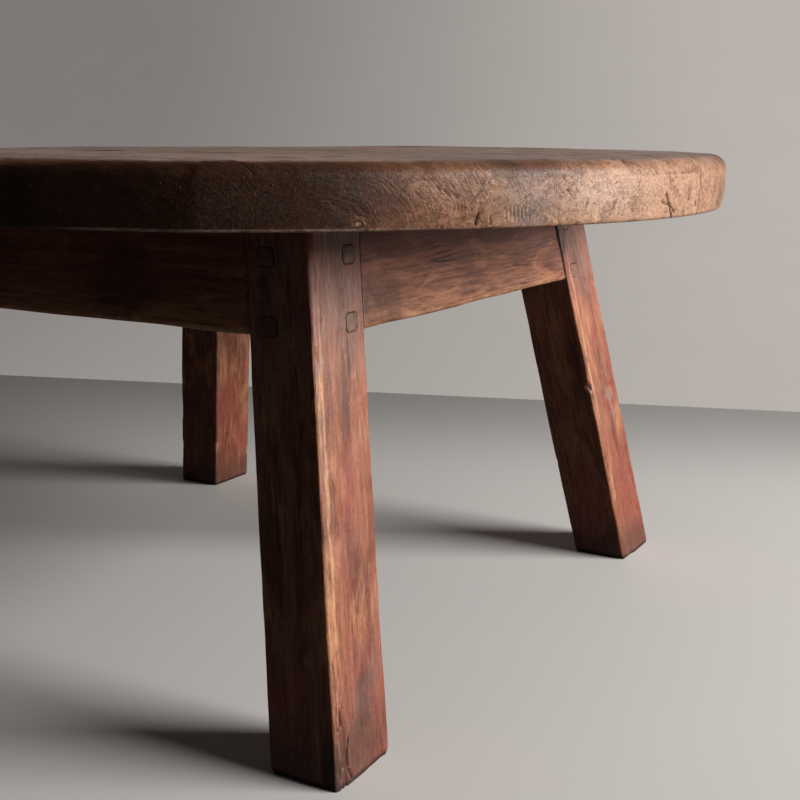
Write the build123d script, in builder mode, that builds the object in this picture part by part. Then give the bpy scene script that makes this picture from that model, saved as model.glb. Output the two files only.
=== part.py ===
from build123d import *
from math import radians, sqrt, tan
import os

# A low round table: a slab of edge-joined boards on a square frame of four legs and four
# aprons. The legs splay both ways and the aprons lean with them.
# Millimetres and degrees. +Z is up, +X is right, -Y is the front, and the origin is on the
# floor under the middle of the slab.

# ---------------------------------------------------------------------- driving dimensions

table_height = 400.0

# Slab
slab_diameter = 824.0
slab_thickness = 42.0
rim_bulge = 1.5
rim_top_radius = 10.0
rim_foot_chamfer = 4.0
board_widths = [80.5, 155.5, 164.0, 140.0, 138.0, 146.0]  # front to back, fitted to the diameter
seam_chamfer = 0.8

# Loose tongues in the board joints
tongue_length = 50.0
tongue_width = 36.0
tongue_thickness = 10.0
tongue_rim_margin = 75.0
tongue_clearance = 0.2

# Sliding dovetail battens in the underside, driven in from the back
batten_width = 40.0
batten_depth = 16.0
batten_taper = 4.0
batten_flank_angle = 10.0
batten_spacing = 220.0
batten_front_cover = 40.0
batten_clearance = 0.2

# Legs, measured level with the floor
foot_spread_x = 566.0
foot_spread_y = 590.0
splay_x_angle = 10.05
splay_y_angle = 10.15
leg_size_x = 53.0
leg_size_y = 62.5
leg_outer_chamfer = 3.5
leg_arris_chamfer = 2.0
foot_chamfer = 2.0

# Stub tenon on top of each leg
stub_size_x = 30.0
stub_size_y = 28.0
stub_height = 24.0
stub_clearance = 0.2

# Aprons
apron_drop = 77.0
apron_thickness = 30.0
apron_setback = 1.2
apron_arris_chamfer = 2.5

# Apron tenons, mitred against each other inside the leg
tenon_setback = 10.0
tenon_thickness = 13.0
tenon_haunch = 12.0
tenon_clearance = 0.15
tenon_root = 12.0
mitre_gap = 0.6

# Pegs, square with the corners whittled off
peg_width = 15.0
peg_height = 13.0
peg_corner = 3.0
peg_shoulder_distance = 16.0
peg_bite = 8.0
peg_proud = 0.4
peg_low_rise = 8.0
peg_high_rise = 53.0
peg_clearance = 0.1

# ----------------------------------------------------------------------- derived values

underside = table_height - slab_thickness
slab_radius = slab_diameter / 2
splay_x = tan(radians(splay_x_angle))
splay_y = tan(radians(splay_y_angle))
apron_bottom = underside - apron_drop
tenon_top = underside - tenon_haunch
peg_depth = tenon_setback + tenon_thickness + peg_bite
tongue_bottom = underside + (slab_thickness - tongue_thickness) / 2

board_fit = slab_diameter / sum(board_widths)
seam_positions = [-slab_radius]
for board_width in board_widths:
    seam_positions.append(seam_positions[-1] + board_width * board_fit)

sides = ["front", "right", "back", "left"]
corners = {"front_right": (1, -1), "back_right": (1, 1), "back_left": (-1, 1), "front_left": (-1, -1)}


def outer_x(level):
    """Distance from the middle to the outer X face of the legs at a height."""
    return foot_spread_x / 2 - splay_x * level


def outer_y(level):
    """Distance from the middle to the outer Y face of the legs at a height."""
    return foot_spread_y / 2 - splay_y * level


# Each side of the frame is drawn in its own turned view: side 0 is the front, and each further
# side is a quarter turn on. In that view, x runs along the apron and -y points out of the side.


def faces_y(side):
    return side % 2 == 0


def side_face(side, level):
    """Distance from the middle to the leaning outer face of this side."""
    return outer_y(level) if faces_y(side) else outer_x(level)


def side_end(side, level):
    """Distance from the middle of this side to the outer face of the leg at its end."""
    return outer_x(level) if faces_y(side) else outer_y(level)


def leg_along(side):
    return leg_size_x if faces_y(side) else leg_size_y


def turned(plane, side):
    """A plane drawn for the front, turned with the rest of its side."""
    return Plane(
        origin=plane.origin.rotate(Axis.Z, 90 * side),
        x_dir=plane.x_dir.rotate(Axis.Z, 90 * side),
        z_dir=plane.z_dir.rotate(Axis.Z, 90 * side),
    )


def face_plane(side, along, level):
    """Plane on the leaning outer face of a side, its normal pointing out."""
    lean = splay_y if faces_y(side) else splay_x
    on_face = Plane((along, -side_face(side, level), level), x_dir=(1, 0, 0), z_dir=(0, -1, lean))
    return turned(on_face, side)


def leg_centre(corner, level):
    sign_x, sign_y = corners[corner]
    return (
        sign_x * (outer_x(level) - leg_size_x / 2),
        sign_y * (outer_y(level) - leg_size_y / 2),
    )


# ---------------------------------------------------------------- shapes shared by two pieces


def slab_disc(mode=Mode.ADD):
    """The whole slab: a disc with a swelling rim, a round top arris and an eased lower one."""
    with BuildSketch(Plane.XZ) as rim_section:
        rim_line = slab_radius - rim_bulge
        with BuildLine():
            Polyline((rim_line, underside), (0, underside), (0, table_height), (rim_line, table_height))
            SagittaArc((rim_line, table_height), (rim_line, underside), rim_bulge)
        make_face()
        outer_foot = rim_section.vertices().group_by(Axis.Y)[0].sort_by(Axis.X)[-1]
        chamfer(outer_foot, length=rim_foot_chamfer)
        outer_top = rim_section.vertices().group_by(Axis.Y)[-1].sort_by(Axis.X)[-1]
        fillet(outer_top, radius=rim_top_radius)
    revolve(rim_section.sketch, axis=Axis.Z, mode=mode)


def tongues(grow=0.0, mode=Mode.ADD):
    """Three loose tongues across each board joint, or their slots when grown."""
    with BuildSketch(Plane.XY.offset(tongue_bottom - grow)) as tongue_plan:
        for seam in seam_positions[1:-1]:
            reach = sqrt(slab_radius**2 - seam**2) - tongue_rim_margin
            with Locations((-reach, seam), (0, seam), (reach, seam)):
                Rectangle(tongue_length + 2 * grow, tongue_width + 2 * grow)
    extrude(tongue_plan.sketch, amount=tongue_thickness + 2 * grow, mode=mode)


def batten(centre_x, grow=0.0, mode=Mode.ADD):
    """One dovetail batten, wider towards the back, or its groove when grown."""
    front_end = batten_front_cover - slab_radius - grow
    sections = []
    for end, width in ((front_end, batten_width), (slab_radius, batten_width + batten_taper)):
        end_plane = Plane((centre_x, end, underside), x_dir=(1, 0, 0), z_dir=(0, -1, 0))
        with BuildSketch(end_plane) as dovetail:
            Trapezoid(
                width + 2 * grow,
                batten_depth + grow,
                90 + batten_flank_angle,
                align=(Align.CENTER, Align.MIN),
            )
        sections.append(dovetail.sketch)
    loft(sections, ruled=True, mode=mode)


def leg_stubs(corner_names, grow=0.0, mode=Mode.ADD):
    """Stub tenons on top of the legs, or their mortises in the slab when grown."""
    with BuildSketch(Plane.XY.offset(underside)) as stub_plan:
        with Locations(*[leg_centre(corner, underside) for corner in corner_names]):
            Rectangle(stub_size_x + 2 * grow, stub_size_y + 2 * grow)
    extrude(stub_plan.sketch, amount=stub_height + grow, mode=mode)


def apron_tenon(side, end_sign, grow=0.0, mode=Mode.ADD):
    """One mitred tenon, rooted in its apron and leaning with its leg, or its mortise when grown."""
    outer_inset = tenon_setback - grow
    inner_inset = tenon_setback + tenon_thickness + grow
    mitre = mitre_gap / 2 - grow * sqrt(2)
    foot_level = apron_bottom - grow
    end, face = side_end(side, foot_level), side_face(side, foot_level)
    root = end - leg_along(side) - tenon_root
    with BuildSketch(turned(Plane.XY.offset(foot_level), side)) as tenon_plan:
        with BuildLine():
            Polyline(
                (end_sign * root, outer_inset - face),
                (end_sign * (end - outer_inset - mitre), outer_inset - face),
                (end_sign * (end - inner_inset - mitre), inner_inset - face),
                (end_sign * root, inner_inset - face),
                close=True,
            )
        make_face()
    lean_along, lean_in = (splay_x, splay_y) if faces_y(side) else (splay_y, splay_x)
    leg_line = Vector(-end_sign * lean_along, lean_in, 1).rotate(Axis.Z, 90 * side)
    height = tenon_top - apron_bottom + 2 * grow
    extrude(tenon_plan.sketch, amount=height * leg_line.length, dir=leg_line, mode=mode)


def pegs(side, end_sign, grow=0.0, mode=Mode.ADD):
    """The two pegs through one tenon, or their holes when grown."""
    for rise in (peg_low_rise, peg_high_rise):
        level = apron_bottom + rise
        along = side_end(side, level) - leg_along(side) + peg_shoulder_distance
        with BuildSketch(face_plane(side, end_sign * along, level).offset(peg_proud)) as peg_end:
            Rectangle(peg_width + 2 * grow, peg_height + 2 * grow)
            chamfer(peg_end.vertices(), length=peg_corner)
        extrude(peg_end.sketch, amount=-(peg_proud + peg_depth + grow), mode=mode)


def joints_at(corner):
    """The two apron ends that meet in a leg, as (side, end sign)."""
    first = list(corners).index(corner)
    return ((first, 1), ((first + 1) % len(sides), -1))


def finish(builder, name):
    """Label a finished piece and write it out."""
    builder.part.label = name
    export_step(builder.part, f"parts/{name}.step")
    print(name, round(builder.part.volume / 1000, 1), "cm3")


os.makedirs("parts", exist_ok=True)

# -------------------------------------------------------------------------------- boards

batten_centres = (-batten_spacing / 2, batten_spacing / 2)

for number, (front, back) in enumerate(zip(seam_positions, seam_positions[1:]), start=1):
    with BuildPart() as board:
        with BuildSketch(Plane.YZ) as board_section:
            with Locations(((front + back) / 2, underside)):
                Rectangle(back - front, slab_thickness, align=(Align.CENTER, Align.MIN))
            chamfer(board_section.vertices().group_by(Axis.Y)[-1], length=seam_chamfer)
        extrude(amount=slab_radius, both=True)
        slab_disc(Mode.INTERSECT)
        tongues(tongue_clearance, Mode.SUBTRACT)
        for centre_x in batten_centres:
            batten(centre_x, batten_clearance, Mode.SUBTRACT)
        leg_stubs(corners, stub_clearance, Mode.SUBTRACT)
    finish(board, f"top_board_{number}")

with BuildPart() as edge_tongues:
    tongues()
finish(edge_tongues, "edge_tongues")

for name, centre_x in zip(("left", "right"), batten_centres):
    with BuildPart() as top_batten:
        batten(centre_x)
        slab_disc(Mode.INTERSECT)
    finish(top_batten, f"top_batten_{name}")

# ---------------------------------------------------------------------------------- legs

for corner, (sign_x, sign_y) in corners.items():
    rise_vector = Vector(-sign_x * splay_x, -sign_y * splay_y, 1)
    with BuildPart() as leg:
        with BuildSketch() as foot_section:
            with Locations(leg_centre(corner, 0)):
                Rectangle(leg_size_x, leg_size_y)
            arrises = foot_section.vertices().sort_by(lambda v: sign_x * v.X + sign_y * v.Y)
            chamfer(arrises[-1], length=leg_outer_chamfer)
            chamfer(arrises[:-1], length=leg_arris_chamfer)
        extrude(amount=underside * rise_vector.length, dir=rise_vector)
        chamfer(leg.faces().sort_by(Axis.Z)[0].edges(), length=foot_chamfer)
        leg_stubs([corner])
        for side, end_sign in joints_at(corner):
            apron_tenon(side, end_sign, tenon_clearance, Mode.SUBTRACT)
            pegs(side, end_sign, peg_clearance, Mode.SUBTRACT)
    finish(leg, f"leg_{corner}")

# -------------------------------------------------------------------------------- aprons

for side, name in enumerate(sides):
    lower_half = side_end(side, apron_bottom) - leg_along(side)
    upper_half = side_end(side, underside) - leg_along(side)
    lower_edge = apron_setback - side_face(side, apron_bottom)
    upper_edge = apron_setback - side_face(side, underside)
    with BuildPart() as apron:
        with BuildSketch(turned(Plane.YZ, side)) as apron_section:
            with BuildLine():
                Polyline(
                    (lower_edge, apron_bottom),
                    (lower_edge + apron_thickness, apron_bottom),
                    (upper_edge + apron_thickness, underside),
                    (upper_edge, underside),
                    close=True,
                )
            make_face()
            chamfer(apron_section.vertices().group_by(Axis.Y)[0], length=apron_arris_chamfer)
        extrude(amount=lower_half, both=True)
        with BuildSketch(turned(Plane.XZ, side)):
            with BuildLine():
                Polyline(
                    (-lower_half, apron_bottom),
                    (lower_half, apron_bottom),
                    (upper_half, underside),
                    (-upper_half, underside),
                    close=True,
                )
            make_face()
        extrude(amount=side_face(side, apron_bottom), mode=Mode.INTERSECT)
        for end_sign in (-1, 1):
            apron_tenon(side, end_sign)
            pegs(side, end_sign, peg_clearance, Mode.SUBTRACT)
    finish(apron, f"apron_{name}")

# ---------------------------------------------------------------------------------- pegs

for corner in corners:
    with BuildPart() as leg_pegs:
        for side, end_sign in joints_at(corner):
            pegs(side, end_sign)
    finish(leg_pegs, f"pegs_{corner}")
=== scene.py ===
import itertools
import math

import bpy
import numpy as np
from mathutils import Matrix, Vector


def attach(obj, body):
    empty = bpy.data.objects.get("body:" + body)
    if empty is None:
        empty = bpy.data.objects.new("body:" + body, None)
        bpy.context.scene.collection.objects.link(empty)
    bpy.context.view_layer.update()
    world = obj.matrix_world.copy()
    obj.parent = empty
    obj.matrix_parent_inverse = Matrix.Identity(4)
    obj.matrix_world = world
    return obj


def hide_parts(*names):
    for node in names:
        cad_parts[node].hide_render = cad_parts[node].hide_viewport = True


# Looks for the low round table. Metres, in the same frame as the solids: +Z up, +X right along
# the boards' grain, -Y the front, origin on the floor under the middle of the slab.

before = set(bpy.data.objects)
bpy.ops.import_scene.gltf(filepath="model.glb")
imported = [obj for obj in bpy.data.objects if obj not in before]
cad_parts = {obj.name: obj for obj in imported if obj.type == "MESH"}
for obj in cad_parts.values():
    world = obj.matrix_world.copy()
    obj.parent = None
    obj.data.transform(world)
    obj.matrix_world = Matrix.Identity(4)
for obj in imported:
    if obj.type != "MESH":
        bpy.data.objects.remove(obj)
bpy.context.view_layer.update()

# ---- sizes, as in the solids

MM = 0.001
TABLE_TOP = 0.4
UNDERSIDE = 0.358
SLAB_THICKNESS = 0.042
# The lowest level of the dressed boards, just inside the solids.
BASE = UNDERSIDE + 0.3 * MM
SLAB_RADIUS = 0.412
BOX_REACH = 0.4119
SEAMS = (-0.412, -0.3315, -0.176, -0.012, 0.128, 0.266, 0.412)

FOOT_X, FOOT_Y = 0.283, 0.295
SPLAY_X, SPLAY_Y = 0.177234, 0.179035
LEG_X, LEG_Y = 0.053, 0.0625
CORNERS = {"front_right": (1, -1), "back_right": (1, 1), "back_left": (-1, 1), "front_left": (-1, -1)}

APRON_BOTTOM = 0.281
APRON_THICKNESS = 0.03
APRON_SETBACK = 0.0012

PEG_LEVELS = (0.289, 0.334)
PEG_FROM_SHOULDER = 0.016
PEG_HALF_WIDTH, PEG_HALF_HEIGHT = 0.0075, 0.0065
PEG_CORNER = 0.0022


def outer_x(z):
    return FOOT_X - SPLAY_X * z


def outer_y(z):
    return FOOT_Y - SPLAY_Y * z


# ---- repeatable noise


def lattice(cell, seed):
    """A repeatable value from -1 to 1 for each whole-number cell."""
    primes = np.array([73856093, 19349663, 83492791], np.uint64)
    n = np.bitwise_xor.reduce(cell.astype(np.uint64) * primes, axis=-1)
    n = (n ^ np.uint64(seed * 2654435761 % 2**32)) & np.uint64(0xFFFFFFFF)
    for shift, factor in ((15, 2246822519), (13, 3266489917)):
        n = ((n ^ (n >> np.uint64(shift))) * np.uint64(factor)) & np.uint64(0xFFFFFFFF)
    n ^= n >> np.uint64(16)
    return n.astype(float) / 2**31 - 1


def noise(points, size, seed):
    """Smooth random values from -1 to 1 with features of a size, or of one size per axis."""
    p = points / np.asarray(size, float)
    cell = np.floor(p).astype(np.int64)
    f = p - cell
    f = f * f * (3 - 2 * f)
    total = np.zeros(p.shape[:-1])
    for step in itertools.product((0, 1), repeat=3):
        share = np.prod(np.where(np.array(step) == 1, f, 1 - f), axis=-1)
        total += share * lattice(cell + np.array(step), seed)
    return total


def rough_noise(points, size, seed, octaves=3):
    total = 0
    for k in range(octaves):
        total = total + noise(points, np.asarray(size, float) / 2**k, seed + 17 * k) / 2**k
    return total / 1.6


def smooth(x, low, high):
    """0 below low, 1 above high, and a soft step between."""
    t = np.clip((x - low) / (high - low), 0, 1)
    return t * t * (3 - 2 * t)


def blob(x, y, centre, size):
    """A soft round patch, 1 at its centre."""
    return np.exp(-(((x - centre[0]) / size[0]) ** 2) - ((y - centre[1]) / size[1]) ** 2)


def cut_depth(u, v, cuts):
    """Depth of a set of cuts at (u, v). Each cut is a line of points, its width and its depth."""
    depth = np.zeros(np.broadcast_shapes(np.shape(u), np.shape(v)))
    for line, width, deep in cuts:
        for start, end in zip(line, line[1:]):
            run = np.subtract(end, start)
            t = np.clip(((u - start[0]) * run[0] + (v - start[1]) * run[1]) / (run @ run), 0, 1)
            away = np.hypot(u - start[0] - t * run[0], v - start[1] - t * run[1])
            depth = np.maximum(depth, deep * np.exp(-((away / width) ** 2)))
    return depth


def spread(start, end, step, fine=(), fine_step=0.6 * MM):
    """Positions from start to end about a step apart, closer together inside the fine ranges."""
    marks = sorted({start, end, *[m for low, high in fine for m in (low, high)]})
    marks = [m for m in marks if start <= m <= end]
    out = []
    for low, high in zip(marks, marks[1:]):
        inside = any(a <= (low + high) / 2 <= b for a, b in fine)
        count = max(1, round((high - low) / (fine_step if inside else step)))
        out.extend(np.linspace(low, high, count, endpoint=False))
    return np.array([*out, end])


# ---- mesh pieces


def in_scene(name, data):
    made = bpy.data.objects.new(name, data)
    bpy.context.scene.collection.objects.link(made)
    return made


def tube(name, loops, channels, turned=False):
    """A closed skin through equal loops of points, capped at both ends, with point channels."""
    rows, count = loops.shape[:2]
    row, place = np.arange(rows - 1)[:, None] * count, np.arange(count)
    first, beside = (row + place).ravel(), (row + (place + 1) % count).ravel()
    quads = np.stack([first, beside, beside + count, first + count], axis=1)
    caps = [list(range(count))[::-1], list(range((rows - 1) * count, rows * count))]
    if turned:
        quads = quads[:, ::-1]
        caps = [cap[::-1] for cap in caps]
    mesh = bpy.data.meshes.new(name)
    mesh.from_pydata(loops.reshape(-1, 3).tolist(), [], quads.tolist() + caps)
    mesh.shade_smooth()
    for channel, values in channels.items():
        attribute = mesh.attributes.new(channel, "FLOAT_VECTOR", "POINT")
        attribute.data.foreach_set("vector", np.asarray(values, np.float32).reshape(-1))
    return in_scene(name, mesh)


def stack(*values):
    return np.stack(np.broadcast_arrays(*values), axis=-1)


def look(grain, surface, tint):
    """The point channels that old_wood reads."""
    return {"grain": stack(*grain), "surface": stack(*surface), "tint": np.clip(stack(*tint), 0, 1)}


def wooden(piece, node, material):
    """Finish a piece that stands for a solid."""
    piece.data.materials.append(material)
    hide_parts(node)
    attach(piece, "root")
    return piece


# ---- materials

GRAIN_WANDER = 0.022


def operator(kind, swapped=False):
    return lambda a, b=0: a.shader.math(kind, *((b, a) if swapped else (a, b)))


class Value:
    """A value in a material's nodes. Arithmetic on it makes Math nodes."""

    def __init__(self, shader, socket):
        self.shader, self.socket = shader, socket

    __add__, __radd__ = operator("ADD"), operator("ADD", True)
    __sub__, __rsub__ = operator("SUBTRACT"), operator("SUBTRACT", True)
    __mul__, __rmul__ = operator("MULTIPLY"), operator("MULTIPLY", True)
    __pow__, __abs__ = operator("POWER"), operator("ABSOLUTE")


class Shader:
    """A material's nodes, made one call at a time. Values and plain numbers mix freely."""

    def __init__(self, name):
        self.material = bpy.data.materials.new(name)
        self.material.use_nodes = True
        self.tree = self.material.node_tree
        self.tree.nodes.clear()

    def new(self, kind):
        return self.tree.nodes.new("ShaderNode" + kind)

    def put(self, socket, value):
        if isinstance(value, Value):
            self.tree.links.new(value.socket, socket)
        else:
            socket.default_value = value

    def node(self, kind, inputs, out=0, **settings):
        made = self.new(kind)
        for key, value in settings.items():
            setattr(made, key, value)
        for key, value in inputs.items():
            self.put(made.inputs[key], value)
        return Value(self, made.outputs[out])

    def channel(self, name):
        return self.node("Attribute", {}, "Vector", attribute_name=name)

    def split(self, vector):
        made = self.new("SeparateXYZ")
        self.put(made.inputs[0], vector)
        return [Value(self, output) for output in made.outputs[:3]]

    def math(self, operation, a, b=0, clamp=False):
        return self.node("Math", {0: a, 1: b}, operation=operation, use_clamp=clamp)

    def stretch(self, vector, scale, shift):
        return self.node("Mapping", {"Vector": vector, "Scale": scale, "Location": shift})

    def noise(self, vector, scale, detail=3, roughness=0.55, distortion=0, shift=(0, 0, 0), out=0):
        """Noise at one scale, or at a scale for each axis."""
        if isinstance(scale, tuple):
            vector, scale = self.stretch(vector, scale, shift), 1
        inputs = {"Vector": vector, "Scale": scale, "Detail": detail, "Roughness": roughness}
        return self.node("TexNoise", {**inputs, "Distortion": distortion}, out)

    def bands(self, value, scale, detail, roughness):
        """Noise along a single value."""
        inputs = {"W": value, "Scale": scale, "Detail": detail, "Roughness": roughness}
        return self.node("TexNoise", inputs, noise_dimensions="1D")

    def step(self, value, low, high):
        inputs = {"Value": value, "From Min": low, "From Max": high}
        return self.node("MapRange", inputs, interpolation_type="SMOOTHSTEP")

    def mix(self, factor, a, b, blend="MIX"):
        made = self.new("Mix")
        made.data_type = "RGBA"
        made.blend_type = blend
        self.put(made.inputs[0], factor)
        for index, value in ((6, a), (7, b)):
            self.put(made.inputs[index], (*value, 1) if isinstance(value, tuple) else value)
        return Value(self, made.outputs[2])

    def close(self, surface):
        self.put(self.new("OutputMaterial").inputs["Surface"], surface)
        return self.material

    def finish(self, color, roughness, height, depth, sheen=0.5):
        """Close the material with a satin surface whose bumps are depth metres high."""
        bump = self.node("Bump", {"Height": height, "Distance": depth, "Strength": 1})
        inputs = {"Base Color": color, "Roughness": roughness, "Normal": bump, "Specular IOR Level": sheen}
        return self.close(self.node("BsdfPrincipled", inputs))


def knot_field(s, knots):
    """For knots at (x, y) with (reach along, reach across): how far the grain is pushed aside
    round them, and the distance from the nearest one, 1 at its edge."""
    place = s.node("TexCoord", {}, "Object")
    ragged = s.split(s.noise(place, 90, 2, 0.5, out="Color"))[0]
    push, nearest = 0, 9
    for x, y, reach_x, reach_y in knots:
        local = s.stretch(place, (1 / reach_x, 1 / reach_y, 0), (-x / reach_x, -y / reach_y, 0))
        away = s.node("VectorMath", {0: local}, 1, operation="LENGTH")
        push = push + s.split(local)[1] * ((1 - s.step(away, 0.3, 3.2)) * (0.75 * reach_y))
        nearest = s.math("MINIMUM", nearest, away)
    return push, nearest + (ragged - 0.5) * 0.6


def old_wood(name, tones, ring_size=0.0045, ring_share=0.5, streak=0.5, fleck=0, gloss=0.42, checks=0.62,
             contrast=0.55, sheen=0.5, knots=()):
    """Solid wood in the piece's own "grain" channel: along the grain, then two distances from the
    pith. The "surface" channel holds wear, dirt and patina, and "tint" holds red, gold and dark.
    Knots are for the slab: they also bring pits, and a matter finish on the level top."""
    s = Shader(name)
    grain = s.channel("grain")
    wear, dirt, patina = s.split(s.channel("surface"))
    red, gold, dark = s.split(s.channel("tint"))
    along, across, deep = s.split(grain)
    if knots:
        push, from_knot = knot_field(s, knots)
        across = across - push
        grain = s.node("CombineXYZ", {0: along, 1: across, 2: deep})

    wander = s.split(s.noise(grain, (5, 18, 18), 2, 0.5, out="Color"))
    across = across + (wander[0] - 0.5) * GRAIN_WANDER
    deep = deep + (wander[1] - 0.5) * GRAIN_WANDER
    pith = s.math("SQRT", across**2 + deep**2) * (1 / ring_size)
    rings = s.step(s.bands(pith, 1, 3, 0.6), 0.3, 0.72)
    fibre = s.noise(grain, (34, 430, 430), 5, 0.72, 0.7)
    hair = s.noise(grain, (110, 1400, 1400), 3, 0.6)
    broad = s.noise(grain, (15, 50, 50), 4, 0.65, 1)
    mottle = s.noise(grain, 60, 6, 0.72, 0.3)
    grit = s.noise(grain, 420, 4, 0.7)
    uneven = mottle - 0.5

    # The wood itself, then its red and gold stain.
    tone = rings * ring_share + fibre * streak + (broad - 0.5) * 0.9
    color = s.mix(s.step(tone, 0.1, 0.85), tones["deep"], tones["base"])
    color = s.mix(s.step(broad + fibre * 0.5, 0.72, 1), color, tones["light"])
    redness = s.math("ADD", s.step(mottle, 0.48, 0.7) * 0.35, red, clamp=True)
    color = s.mix(redness, color, s.mix(fibre, tones["red_deep"], tones["red"]))
    color = s.mix(gold * s.step(fibre + broad, 0.75, 1.15), color, tones["worn"])

    # Patina, wear, darkening and dirt. On the slab's rim the darkening is mostly painted shade, and the wear and
    # patina along its lower arris a painted light line.
    color = s.mix(patina * s.step(mottle + fibre, 0.7, 1.25), color, tones["patina"])
    rubbed = s.step(wear + uneven * 1.1 + (fibre - 0.5) * 0.6, 0.35, 0.85)
    color = s.mix(rubbed * 0.85, color, s.mix(fibre, tones["worn"], tones["bare"]))
    gloom = s.step(dark + uneven * 0.9, 0.15, 0.95) * s.step(dark, 0, 0.15)
    color = s.mix(gloom * 0.9, color, s.mix(fibre, tones["dirt"], tones["deep"]))
    weave = fibre * contrast + grit * (0.9 * contrast) + (1 - 0.95 * contrast)
    # Past 0.72 the dark tint darkens the colour further: on the slab's rim, its deepest painted shade.
    color = s.mix(1, color, weave - s.step(dark, 0.72, 1) * 0.5, "MULTIPLY")
    stained = s.step(dirt + uneven * 0.9, 0.3, 0.9)
    color = s.mix(stained * 0.9, color, tones["dirt"])

    # Pores, specks, pale flecks and fine cracks.
    pores = s.step(hair, 0.6, 0.72)
    color = s.mix(pores * 0.55, color, tones["pore"])
    color = s.mix(s.step(grit, 0.66, 0.76) * 0.35, color, tones["pore"])
    if fleck:
        pale = s.step(s.noise(grain, (500, 420, 420), 2, 0.5, shift=(3, 1, 2)), 0.66, 0.76)
        pale = pale * (1 - s.step(dark, 0.5, 1))
        color = s.mix(pale * fleck, color, s.mix(s.step(dark, 0.1, 0.6), tones["bare"], tones["light"]))
    course = s.noise(grain, (4, 70, 70), 2, 0.5)
    where = s.step(s.noise(grain, (8, 26, 26), 2, shift=(5, 2, 7)), checks, checks + 0.06)
    crack = (1 - s.step(abs(course - 0.5), 0.002, 0.016)) * where
    if knots:
        level = s.split(s.node("NewGeometry", {}, "Normal"))[2]
        crack = crack * s.step(abs(level), 0.7, 0.9)
    color = s.mix(crack * 0.9, color, tones["dirt"])

    rough = gloss + uneven * 0.5 + stained * 0.2
    rough = s.math("SUBTRACT", rough, rubbed * 0.06, clamp=True)
    height = fibre * 0.7 + rings * 0.15 + mottle * 0.8 - pores * 0.35 - crack + grit * 0.4
    if knots:
        rough = s.math("ADD", rough, s.step(level, 0.9, 0.99) * 0.2, clamp=True)
        inside = 1 - s.step(from_knot, 0.75, 1.05)
        heart = s.mix(s.step(s.bands(from_knot, 9, 2, 0.5), 0.35, 0.65), tones["dirt"], tones["red_deep"])
        color = s.mix(inside * 0.85, color, heart)
        halo = 1 - s.step(abs(from_knot - 1.05), 0, 0.35)
        color = s.mix(halo * 0.6, color, tones["deep"])
        spot = s.node("TexVoronoi", {"Vector": grain, "Scale": 190})
        pit = (1 - s.step(spot, 0.07, 0.15)) * s.step(s.noise(grain, 26, 2), 0.5, 0.6)
        color = s.mix(pit * 0.8, color, tones["dirt"])
        height = height - halo * 0.8 - pit
    return s.finish(color, rough, height, 0.5 * MM, sheen)


LEG_TONES = dict(
    deep=(0.13, 0.036, 0.02), base=(0.33, 0.108, 0.052), light=(0.5, 0.215, 0.115), red=(0.46, 0.115, 0.068),
    red_deep=(0.24, 0.045, 0.032), worn=(0.6, 0.262, 0.125), bare=(0.74, 0.43, 0.26),
    patina=(0.33, 0.185, 0.15), dirt=(0.05, 0.025, 0.02), pore=(0.09, 0.026, 0.017),
)
SLAB_TONES = dict(
    deep=(0.115, 0.039, 0.017), base=(0.265, 0.108, 0.052), light=(0.43, 0.235, 0.145), red=(0.31, 0.125, 0.06),
    red_deep=(0.15, 0.052, 0.026), worn=(0.56, 0.295, 0.175), bare=(0.7, 0.46, 0.335),
    patina=(0.57, 0.47, 0.43), dirt=(0.037, 0.014, 0.007), pore=(0.08, 0.036, 0.022),
)
PEG_TONES = {**LEG_TONES, "base": (0.22, 0.12, 0.085), "light": (0.3, 0.19, 0.14), "patina": (0.27, 0.19, 0.155)}

# Knots in the face of the top: x, y, half length and half width.
TOP_KNOTS = (
    (0.205, -0.245, 0.013, 0.01), (-0.16, -0.095, 0.017, 0.012), (0.06, 0.06, 0.011, 0.009),
    (-0.27, 0.195, 0.012, 0.01), (0.19, 0.325, 0.01, 0.008), (0.3, 0.02, 0.009, 0.007),
    (-0.05, -0.365, 0.009, 0.007),
)

leg_wood = old_wood("leg_wood", LEG_TONES, fleck=0.3, checks=0.66, contrast=0.85)
apron_wood = old_wood("apron_wood", LEG_TONES, ring_size=0.006, fleck=0.2, gloss=0.45, checks=0.66, contrast=0.7)
slab_wood = old_wood(
    "slab_wood", SLAB_TONES, ring_size=0.0016, ring_share=0.28, streak=0.6, fleck=0.4, gloss=0.4,
    checks=0.56, contrast=0.75, sheen=0.38, knots=TOP_KNOTS,
)
peg_wood = old_wood("peg_wood", PEG_TONES, ring_size=0.003, gloss=0.55, checks=2)

# ---- slab

RIM_TOP_ROUND = 0.01
RIM_FINE, RIM_FOOT = 0.033, 0.0395
RIM_BULGE = 0.0015
BARK_WIDTH = 0.28
SEAM_EASE = 0.0009
SEAM_EASE_REACH = 0.0015
JOINT_LINE = 0.00003
SEAM_ROWS = (0, 0.12, 0.3, 0.55, 0.9, 1.4)
TOP_STEP, RIM_STEP, MARK_STEP = 0.008, 0.002, 0.0006
BOARD_PROUD = (0, 0.06, 0.1, 0.06, 0.25, -0.25, 0.2)
BOARD_DARK = (0, 0.16, 0.07, 0.05, 0.12, 0, 0.16)
BOARD_GOLD = (0, 0.1, 0.45, 0, 0.2, 0.5, 0.1)
SEAM_DIRT = (0, 0.1, 0.1, 0.75, 0.8, 0.7, 0.8, 0)
PITHS = ((-0.43, 0.33), (-0.305, 0.356), (-0.11, 0.3), (0.05, 0.44), (0.19, 0.32), (0.33, 0.43))
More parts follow.
